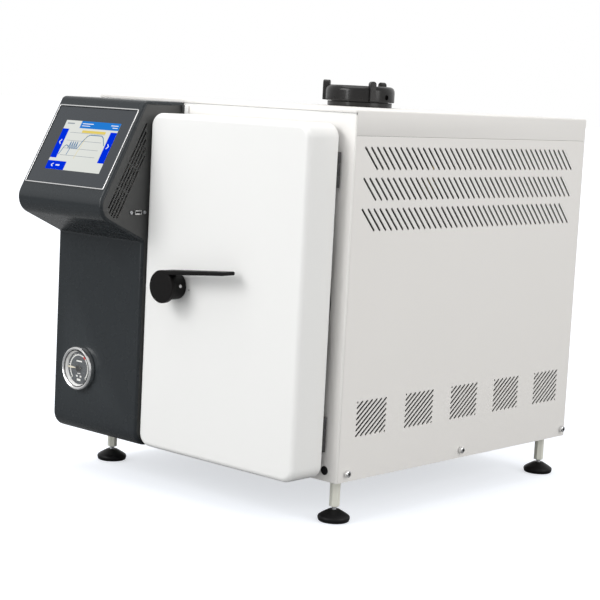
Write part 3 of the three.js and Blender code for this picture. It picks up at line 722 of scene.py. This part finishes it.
JACK_SCREW = [(-344.6, 2.9), (-342.5, 2.9), (-342.0, 2.5), (-342.0, 1.3), (-343.8, 1.3)]  # x, r
for tag, y in (("front", PORT_Y - 13.5), ("rear", PORT_Y + 13.5)):
    rings = stack("x", [(x, circle(y, PORT_Z, radius, 6)) for x, radius in JACK_SCREW])
    piece("port_jack_screw_" + tag, loft(rings), "zinc_steel", angle=25)

# ------------------------------------------------------------------ gauge
# turned profiles: radius, y
GAUGE_CASE = [
    (0, -54.5), (31.5, -54.5), (31.5, -75.5), (33.8, -75.5), (34.5, -76.3), (34.5, -82.0),
    (34.1, -83.8), (33.0, -85.1), (31.6, -85.5), (30.6, -85.1), (29.9, -84.4), (29.2, -83.9),
    (28.8, -83.7), (28.8, -75.9), (28.0, -75.6), (0, -75.6),
]
GAUGE_FACE = [(0, -78.0), (27.6, -78.0), (28.2, -77.7), (28.5, -77.2), (28.5, -75.9), (0, -75.9)]
INNER_RING = [(25.7, -78.05), (25.7, -78.3), (27.7, -81.8), (28.0, -82.05), (28.7, -82.05),
              (28.7, -78.05)]
GAUGE_GASKET = [(28.0, -83.62), (29.1, -83.62), (29.3, -83.9), (29.0, -84.25), (28.3, -84.2),
                (27.95, -83.9)]
POINTER_CAP = [(0, -81.5), (4.4, -81.5), (5.1, -81.3), (5.5, -81.0), (5.4, -80.72), (0, -80.72)]
WINDOW = [(0, -83.6), (28.2, -83.6), (28.5, -83.3), (28.5, -82.1), (0, -82.1)]
POINTER = [  # x, z from the gauge axis; the tip points left
    (-24, -1.1), (-24, 1.1), (-15, 1.5), (-7, 0.7), (0, 1.2), (4.6, 1.2), (4.9, 0),
    (4.6, -1.2), (0, -1.2), (-7, -0.7), (-15, -1.5),
]
PRINT_BACK, PRINT_FRONT = -78.02, -78.25
SCALE_START, SCALE_END = 225, -45  # degrees, lower left round the top to lower right
PRINTED_BLOCKS = [  # x0, x1, z0, z1 from the gauge axis
    (-6.5, 6.5, 9.8, 12.0), (-4.2, 4.2, -20.4, -17.0), (-6.4, -2.6, -14.6, -11.6),
    (2.4, 6.2, -14.6, -11.6), (-3.4, 3.6, -9.2, -8.0),
]


def dial_slab(outline, front, back):
    x, z = GAUGE
    return prism("y", [(x + u, z + v) for u, v in outline], front, back)


def dial_tick(angle, r0, r1, width):
    c, s = math.cos(angle), math.sin(angle)
    corners = rectangle(r0, r1, -width / 2, width / 2)
    return dial_slab([(r * c - t * s, r * s + t * c) for r, t in corners],
                     PRINT_FRONT, PRINT_BACK)


def dial_arc(start, end, steps, r0, r1, front):
    """Raised arc on the dial between two angles in degrees."""
    rings = []
    for k in range(steps + 1):
        angle = math.radians(start + (end - start) * k / steps)
        rings.append([(GAUGE[0] + r * math.cos(angle), y, GAUGE[1] + r * math.sin(angle))
                      for r, y in rectangle(r0, r1, PRINT_BACK, front)])
    return loft(rings)


piece("gauge_body", lathe("y", GAUGE, GAUGE_CASE, 96), "polished_steel", "gauge_case")
piece("gauge_face", lathe("y", GAUGE, GAUGE_FACE, 72), "gauge_dial", "gauge_dial")
piece("gauge_inner_ring", lathe("y", GAUGE, INNER_RING, 72), "gauge_ring")
piece("gauge_gasket", lathe("y", GAUGE, GAUGE_GASKET, 72), "black_rubber")

marks = []
for k in range(26):
    angle = math.radians(SCALE_START + (SCALE_END - SCALE_START) * k / 25)
    marks.append(dial_tick(angle, 21.7, *((24.6, 1.2) if k % 5 == 0 else (23.0, 0.5))))
marks.append(dial_arc(SCALE_START, SCALE_END, 60, 19.9, 21.6, PRINT_FRONT))
marks += [dial_slab(rectangle(*block), PRINT_FRONT, PRINT_BACK) for block in PRINTED_BLOCKS]
piece("gauge_scale", merge(marks), "dial_print", angle=20)
piece("gauge_limit_mark", dial_arc(62, 48, 12, 19.7, 22.6, -78.36), "dial_red", angle=20)
pointer = piece("gauge_pointer", dial_slab(POINTER, -80.6, -79.6), "needle_cream",
                "gauge_needle", body="needle")
combine(pointer, add=[cylinder("y", GAUGE, 3.0, -80.7, -78.4, 32)])
piece("gauge_pointer_hub", lathe("y", GAUGE, POINTER_CAP, 40), "black_plastic", body="needle")
piece("gauge_window", lathe("y", GAUGE, WINDOW, 72), "clear_glass", "gauge_lens")

# ------------------------------------------------------------------ door
DOOR_LEFT, DOOR_RIGHT, DOOR_BOTTOM, DOOR_TOP = -341.0, -22.0, 4.0, 509.0
DOOR_FRONT, DOOR_BACK = -71.0, -9.4
DOOR_CORNER, DOOR_EDGE = 20.0, 8.0
HANDLE_X, HANDLE_Z = HANDLE = (-268.0, 257.5)  # axis of the handle
VESSEL = (-180.0, 256.5)  # x, z of the vessel axis

stations = [(DOOR_EDGE + 4, DOOR_FRONT)]  # inset, y: over the front, then back up inside
stations += [(inset, DOOR_FRONT + depth) for inset, depth in fillet(DOOR_EDGE, 10)]
stations += [
    (0, DOOR_BACK - 1.2), (0.35, DOOR_BACK - 0.35), (1.2, DOOR_BACK), (2.6, DOOR_BACK),
    (3.0, DOOR_BACK - 0.4), (3.0, DOOR_FRONT + 13), (4.2, DOOR_FRONT + 7),
    (8, DOOR_FRONT + 3.6), (12, DOOR_FRONT + 3),
]
rings = stack("y", [
    (y, rounded_rectangle(DOOR_LEFT + inset, DOOR_RIGHT - inset, DOOR_BOTTOM + inset,
                          DOOR_TOP - inset, max(DOOR_CORNER - inset, 1.0), 10))
    for inset, y in stations])
door = piece("door_outer_cover", loft(rings), "door_white", "door_cover", body="door", angle=40)
# a notch in the left edge and a hole on the handle axis
notch = box(DOOR_LEFT - 2, DOOR_LEFT + 6, -46.7, -33.3, 248.8, 266.2)
combine(door, cut=[notch, cylinder("y", HANDLE, 8, -75, -60, 40)], angle=40)

# radius, y
INDEX_MARK = [(0, -71.2), (0.9, -71.2), (1.25, -71.05), (1.25, -70.5), (0, -70.5)]
PRESSURE_PLATE = [
    (0, -22), (118, -22), (126, -24), (148.6, -24), (149, -23.6), (149, -10.2), (148.4, -9.7),
    (131, -9.7), (128, -10.6), (122, -14.6), (117, -15.4), (60, -16.4), (0, -17),
]
piece("door_index_mark", lathe("y", (-243.5, 253.5), INDEX_MARK, 20), "index_grey", body="door")
piece("door_pressure_plate", lathe("y", VESSEL, PRESSURE_PLATE, 128), "stainless",
      "door_liner", body="door")

# ------------------------------------------------------------------ handle
HANDLE_HUB = [  # radius, y
    (0, -105.4), (22.6, -105.4), (23.7, -105.05), (24.3, -104.2), (24.3, -98.6), (24.0, -97.6),
    (21.4, -95.6), (20.7, -94.2), (20.2, -80), (20.0, -73), (19.4, -72), (0, -72),
]
GRUB_SCREW = [  # radius, distance along the lever
    (0, 6.8), (2.8, 6.8), (2.8, 19.8), (2.3, 20.5), (1.7, 20.5), (1.5, 19.0), (0, 18.2),
]
GRUB_SCREW_AXIS = (-84.3, 0)  # y, and height across the lever
LEVER_TILT = math.radians(5.1)


def tilted(solid):
    """Turn a solid drawn along x from the handle axis to the lever's tilt."""
    c, s = math.cos(LEVER_TILT), math.sin(LEVER_TILT)
    verts = [(HANDLE_X + u * c - w * s, y, HANDLE_Z + u * s + w * c) for u, y, w in solid[0]]
    return verts, solid[1]


stations = [(2, 0), (60, 0), (120, 0)]  # distance along the lever, shrink of the section
for k in range(6):
    angle = math.pi / 2 * k / 5
    stations.append((127.5 + 3.5 * math.sin(angle), 1.3 * (1 - math.cos(angle))))
sections = []
for along, shrink in stations:
    lower = 17.3 + 1.2 * min(along, 127) / 127
    sections.append((along, rounded_rectangle(-105.4 + shrink, -82.3 - shrink, lower + shrink,
                                              24.1 - shrink, 1.3, 4)))
grip = piece("handle_grip", lathe("y", HANDLE, HANDLE_HUB, 96), "handle_black", "door_handle",
             body="handle", angle=35)
combine(grip, add=[tilted(loft(stack("x", sections)))],
        cut=[tilted(cylinder("x", GRUB_SCREW_AXIS, 3.3, 5, 30, 32)),
             cylinder("y", HANDLE, 6.5, -99, -60, 40)], angle=35)
piece("handle_grub_screw", tilted(lathe("x", GRUB_SCREW_AXIS, GRUB_SCREW, 24)),
      "polished_steel", "handle_set_screw", body="handle", angle=25)

# ------------------------------------------------------------------ bumper
BUMPER = [  # radius, y
    (0, -0.75), (1.7, -0.75), (2.1, -0.6), (2.9, -0.65), (3.7, -1.05), (4.6, -1.1),
    (5.7, -1.05), (6.3, -0.8), (6.5, -0.5), (6.5, -0.3), (3, -0.3), (3, 1.4), (0, 1.4),
]
piece("door_stop_bumper", lathe("y", (-23.5, 15.5), BUMPER, 48), "black_rubber", "door_bumper")

# ------------------------------------------------------------------ filler neck and cap
FILLER_X, FILLER_Y = FILLER = (-400.0, 480.0)
# radius, z
NECK = [
    (40, 490), (45.5, 490), (45.5, 530.3), (55.9, 530.3), (56.7, 531.1), (56.7, 537.6),
    (55.9, 538.4), (50, 538.4), (50, 554.9), (49.4, 555.5), (40.6, 555.5), (40, 554.9),
]
CAP = [
    (0, 560.5), (53, 560.5), (53, 539), (59.6, 539), (60.3, 539.7), (60.6, 541.5),
    (60.6, 556.8), (60.1, 560.0), (58.6, 563.0), (56.2, 565.2), (53.2, 566.3), (50, 566.5),
    (46, 566.1), (40, 565.6), (0, 565.5),
]
CAP_SEAL = [(0, 556), (48.2, 556), (49, 556.7), (49, 558.9), (48.2, 559.5), (0, 559.5)]
RIB_SECTIONS = [  # inset, distance from the cap's axis
    (1.3, 54.0), (0.4, 54.5), (0, 55.3), (0, 65.2), (0.4, 66.0), (1.3, 66.5),
]


def cap_rib(angle):
    """Upright rib with a half-round top and softened ends."""
    c, s = math.cos(angle), math.sin(angle)
    rings = []
    for inset, reach in RIB_SECTIONS:
        half, top, bottom = 5.5 - inset, 574.5 - inset, 539.5 + inset
        outline = round_corners([(-half, bottom, 0.6), (half, bottom, 0.6),
                                 (half, top, half - 0.15), (-half, top, half - 0.15)])
        rings.append([(FILLER_X + reach * c - t * s, FILLER_Y + reach * s + t * c, z)
                      for t, z in outline])
    return loft(rings)


piece("filler_collar", lathe("z", FILLER, NECK, 96), "black_plastic", "filler_neck")
cap = piece("filler_screw_cap", lathe("z", FILLER, CAP, 120), "black_plastic", "filler_cap",
            body="cap", angle=35)
side_hole = cylinder("x", (FILLER_Y, 548), 4.6, FILLER_X + 56, FILLER_X + 72, 32)
combine(cap, add=[cap_rib(math.radians(-30 + 120 * k)) for k in range(3)], cut=[side_hole],
        angle=35)
piece("filler_seal", lathe("z", FILLER, CAP_SEAL, 64), "silicone", "filler_cap_seal",
      body="cap_seal")

# ------------------------------------------------------------------ pressure vessel and seal
# radius, y
VESSEL_OUTSIDE = [  # from the closed rear end to the back of the front flange
    (0, 480), (30, 479), (60, 474), (85, 466), (103, 457), (117, 447), (126, 438), (129, 430),
    (129, 8), (149.2, 8),
]
VESSEL_INSIDE = [  # flange, seal groove and inner wall
    (150, 7.2), (150, -3.2), (149.2, -4), (141.3, -4), (141, -3.7), (141, 0), (131, 0),
    (131, -3.7), (130.7, -4), (126.5, -4), (125, -2.5), (125, 430), (122, 437), (113, 445),
    (100, 453), (83, 462), (58, 470), (30, 475), (0, 476),
]
DOOR_GASKET = [(131.6, -0.4), (140.4, -0.4), (140.4, -5.6), (139.2, -7.6), (137.4, -8.5),
               (135, -8.5), (133.2, -7.6), (131.6, -5.6)]
VESSEL_STEPS = 96
# the outside gets the dark steel of painted shade where it shows through the side slots; the
# inside is stainless
face_slots = [1] * ((len(VESSEL_OUTSIDE) - 1) * VESSEL_STEPS)  # outside
face_slots += [0] * (len(VESSEL_INSIDE) * VESSEL_STEPS)
piece("vessel_body", lathe("y", VESSEL, VESSEL_OUTSIDE + VESSEL_INSIDE, VESSEL_STEPS),
      [MATERIALS["stainless"], MATERIALS["painted_shade_steel"]], "chamber_vessel",
      face_slots=face_slots)
piece("door_gasket", lathe("y", VESSEL, DOOR_GASKET, 96), "silicone", "door_seal")

# ------------------------------------------------------------------ feet
# radius, z
SPACER = [(4.2, 1.2), (7.1, 1.2), (7.7, 0.6), (7.7, -41.3), (7.1, -42), (4.2, -42)]
FOOT_PAD = [
    (0, -63.5), (20.6, -63.5), (21.6, -63.3), (22.6, -62.4), (23.2, -60.6), (23.7, -58.4),
    (23.6, -56.9), (22.8, -55.4), (19, -52.6), (14, -49.6), (10.4, -47.6), (8.8, -46.6),
    (7.6, -46.1), (5.0, -46.0), (4.2, -46.6), (0, -46.6),
]
stud = [(0, -47)]
for turn in range(48):
    z = -47.0 + 1.25 * turn
    stud += [(3.0, z + 0.1), (3.6, z + 0.6), (3.0, z + 1.1)]
stud += [(2.6, 14), (0, 14)]
for depth_tag, y in (("front", 30), ("rear", 555)):
    for side_tag, x in (("right", -27), ("left", -511)):
        tag = depth_tag + "_" + side_tag
        rings = stack("z", [(z, circle(x, y, radius, 6, math.radians(42.2)))
                            for radius, z in SPACER])
        piece("spacer_" + tag, loft(rings, cyclic=True), "spacer_cream", "foot_spacer_" + tag,
              angle=25)
        piece("foot_pad_" + tag, lathe("z", (x, y), FOOT_PAD, 64), "black_rubber",
              "levelling_foot_" + tag, body="foot_" + tag)
        piece("foot_stud_" + tag, lathe("z", (x, y), stud, 20), "zinc_steel",
              body="foot_" + tag, angle=50)

# ------------------------------------------------------------------ panel screws
# radius, distance out from the panel
SCREW = [(0, -6.8), (2.2, -6.8), (2.2, 0.3), (4.4, 0.3), (5.0, 0.8), (5.0, 5.0), (4.75, 5.7),
         (4.2, 6.15), (3.5, 6.3), (0, 6.3)]
# black disc at the bottom of the hex socket: painted shade, so the hole reads dark
SOCKET_SHADE_DISC = [(0, 3.32), (2.35, 3.32), (2.35, 3.6), (1.6, 3.75), (0, 3.7)]
for side, x, out in (("right", 0, 1), ("left", LEFT_SIDE, -1)):
    for tag in SCREWS[side]:
        center = (SCREW_Y[tag], SCREW_Z)
        name = f"side_screw_{side}_{tag}"
        head = piece(name, lathe("x", center, [(r, x + out * h) for r, h in SCREW], 48),
                     "polished_steel", f"panel_screw_{side}_{tag}", angle=30)
        socket = prism("x", circle(*center, 2.8, 6), x + out * 3.3, x + out * 8)
        combine(head, cut=[socket], angle=30)
        # painted shade: a black disc laid in the bottom of the socket
        floor = lathe("x", center, [(r, x + out * h) for r, h in SOCKET_SHADE_DISC], 6)
        piece(name + "_socket", floor, "black_plastic", angle=25)

# ------------------------------------------------------------------ rear filter and edge strips
piece("rear_vent_filter", plate(rounded_rectangle(-366, -174, 374, 474, 6), [], 3, 0.6,
                                lambda x, z, w: (x, 579.3 + w, z)), "anthracite_matt")
STRIPS = [  # name, box, material, bevel width, bevel segments
    ("cover_lip_strip", (-536, -2, 1.9, 2.6, 514, 525.2), "lip_white", 0.25, 2),
    ("column_edge_strip", (-344.1, -339.4, -4.6, -0.4, 4, 521.5), "anthracite_matt", 0.6, 2),
    ("fascia_edge_bead", (-339.2, -331.6, -4.2, -0.4, 4, 521.5), "lip_white", 1.8, 4),
]
for name, extents, look, width, segments in STRIPS:
    bevel(piece(name, box(*extents), look), width, segments)

# keep the large flat faces flat beside their rounded edges
for name in ("right_panel_skin", "left_panel_skin", "control_cheek_vented",
             "control_cheek_plain", "display_trim_ring", "display_cover_glass",
             "control_column_shell", "door_outer_cover", "handle_grip", "filler_screw_cap"):
    normals = bpy.data.objects[name].modifiers.new("flat", "WEIGHTED_NORMAL")
    normals.keep_sharp = True
    normals.weight = 80


# ------------------------------------------------------------------ floor and world
def floor_material():
    """Paper that glows more with distance, to the camera only, so no horizon shows."""
    mat = material("floor_paper", color=(0.56, 0.58, 0.62), rough=0.9, tint=0.004,
                   specular=0.05, bump=0.01, bump_scale=50)
    tree = mat.node_tree
    shader = tree.nodes["Principled BSDF"]
    position = tree.nodes.new("ShaderNodeNewGeometry").outputs["Position"]
    distance = tree.nodes.new("ShaderNodeVectorMath")
    distance.operation = "LENGTH"
    tree.links.new(position, distance.inputs[0])
    strength = map_range(tree, distance.outputs["Value"], source=(0.7, 2.4),
                         target=(0.62, 0.85))
    shader.inputs["Emission Color"].default_value = (0.95, 0.97, 1.0, 1)
    camera_ray = tree.nodes.new("ShaderNodeLightPath").outputs["Is Camera Ray"]
    product = tree.nodes.new("ShaderNodeMath")
    product.operation = "MULTIPLY"
    tree.links.new(strength, product.inputs[0])
    tree.links.new(camera_ray, product.inputs[1])
    tree.links.new(product.outputs[0], shader.inputs["Emission Strength"])
    # light bounces off a darker paper than the camera sees
    paper = shader.inputs["Base Color"].links[0].from_socket
    color = mix_colors(tree, camera_ray, (0.30, 0.305, 0.31), paper)
    tree.links.new(color, shader.inputs["Base Color"])
    return mat


def add_floor(half=40.0, z=-0.0005):
    """Square floor, in metres, just under the feet."""
    mesh = bpy.data.meshes.new("floor")
    corners = rectangle(-half, half, -half, half)
    mesh.from_pydata([(x, y, z) for x, y in corners], [], [(0, 1, 2, 3)])
    ob = bpy.data.objects.new("floor", mesh)
    collection.objects.link(ob)
    mesh.materials.append(floor_material())


def add_world():
    """Grey surround that dims upwards; the camera itself sees plain white."""
    world = bpy.data.worlds.new("studio")
    bpy.context.scene.world = world
    world.use_nodes = True
    tree = world.node_tree
    nodes, link = tree.nodes, tree.links.new
    surround = nodes["Background"]
    split = nodes.new("ShaderNodeSeparateXYZ")
    link(nodes.new("ShaderNodeTexCoord").outputs["Generated"], split.inputs[0])
    level = map_range(tree, split.outputs["Z"], source=(-0.2, 0.9), target=(0.92, 0.7))
    grey = nodes.new("ShaderNodeCombineColor")
    for channel in range(3):
        link(level, grey.inputs[channel])
    link(grey.outputs[0], surround.inputs["Color"])
    surround.inputs["Strength"].default_value = 1.0
    seen = nodes.new("ShaderNodeBackground")
    seen.inputs["Color"].default_value = (1, 1, 1, 1)
    seen.inputs["Strength"].default_value = 1.0
    mix = nodes.new("ShaderNodeMixShader")
    link(nodes.new("ShaderNodeLightPath").outputs["Is Camera Ray"], mix.inputs[0])
    link(surround.outputs[0], mix.inputs[1])
    link(seen.outputs[0], mix.inputs[2])
    link(mix.outputs[0], nodes["World Output"].inputs["Surface"])


add_floor()
add_world()


# ------------------------------------------------------------------ lights, in metres and watts
def area_light(name, location, size, power, target=(0, 0, 0.3), color=(1, 1, 1), height=None):
    light = bpy.data.lights.new(name, "AREA")
    light.energy = power
    light.size = size
    if height:
        light.shape = "RECTANGLE"
        light.size_y = height
    light.color = color
    ob = bpy.data.objects.new(name, light)
    collection.objects.link(ob)
    ob.location = location
    ob.rotation_mode = "QUATERNION"
    ob.rotation_quaternion = (Vector(target) - Vector(location)).to_track_quat("-Z", "Y")


area_light("key", location=(-0.9, -2.6, 1.9), size=1.6, height=1.2, power=34)
area_light("strip", location=(-0.33, -3.1, 0.6), target=(-0.131, 0.262, 0.6), size=0.42,
           height=1.9, power=17)
area_light("top", location=(-0.3, -0.2, 2.6), size=1.8, power=24)
area_light("side", location=(2.6, 0.4, 1.2), size=1.4, power=19, color=(1, 0.985, 0.965))

# ------------------------------------------------------------------ camera
CAMERA_PLACE = (1480.595, -1754.339, 550.410)
CAMERA_AXES = (
    (0.740291567, 0.670318512, 0.051395409),  # right
    (-0.121844941, 0.058594954, 0.990818067),  # up
    (0.66115218, -0.73975653, 0.12505227),  # backwards
)
camera = bpy.data.cameras.new("camera")
camera_object = bpy.data.objects.new("camera", camera)
collection.objects.link(camera_object)
turn = Matrix(CAMERA_AXES).transposed().to_4x4()
camera_object.matrix_world = Matrix.Translation(Vector(to_scene(CAMERA_PLACE))) @ turn
camera.sensor_fit = "HORIZONTAL"
camera.sensor_width = 36.0
camera.lens = 98.931
camera.clip_start = 0.05
camera.clip_end = 60
bpy.context.scene.camera = camera_object
bpy.context.scene.view_settings.view_transform = "Standard"
bpy.context.scene.view_settings.look = "None"
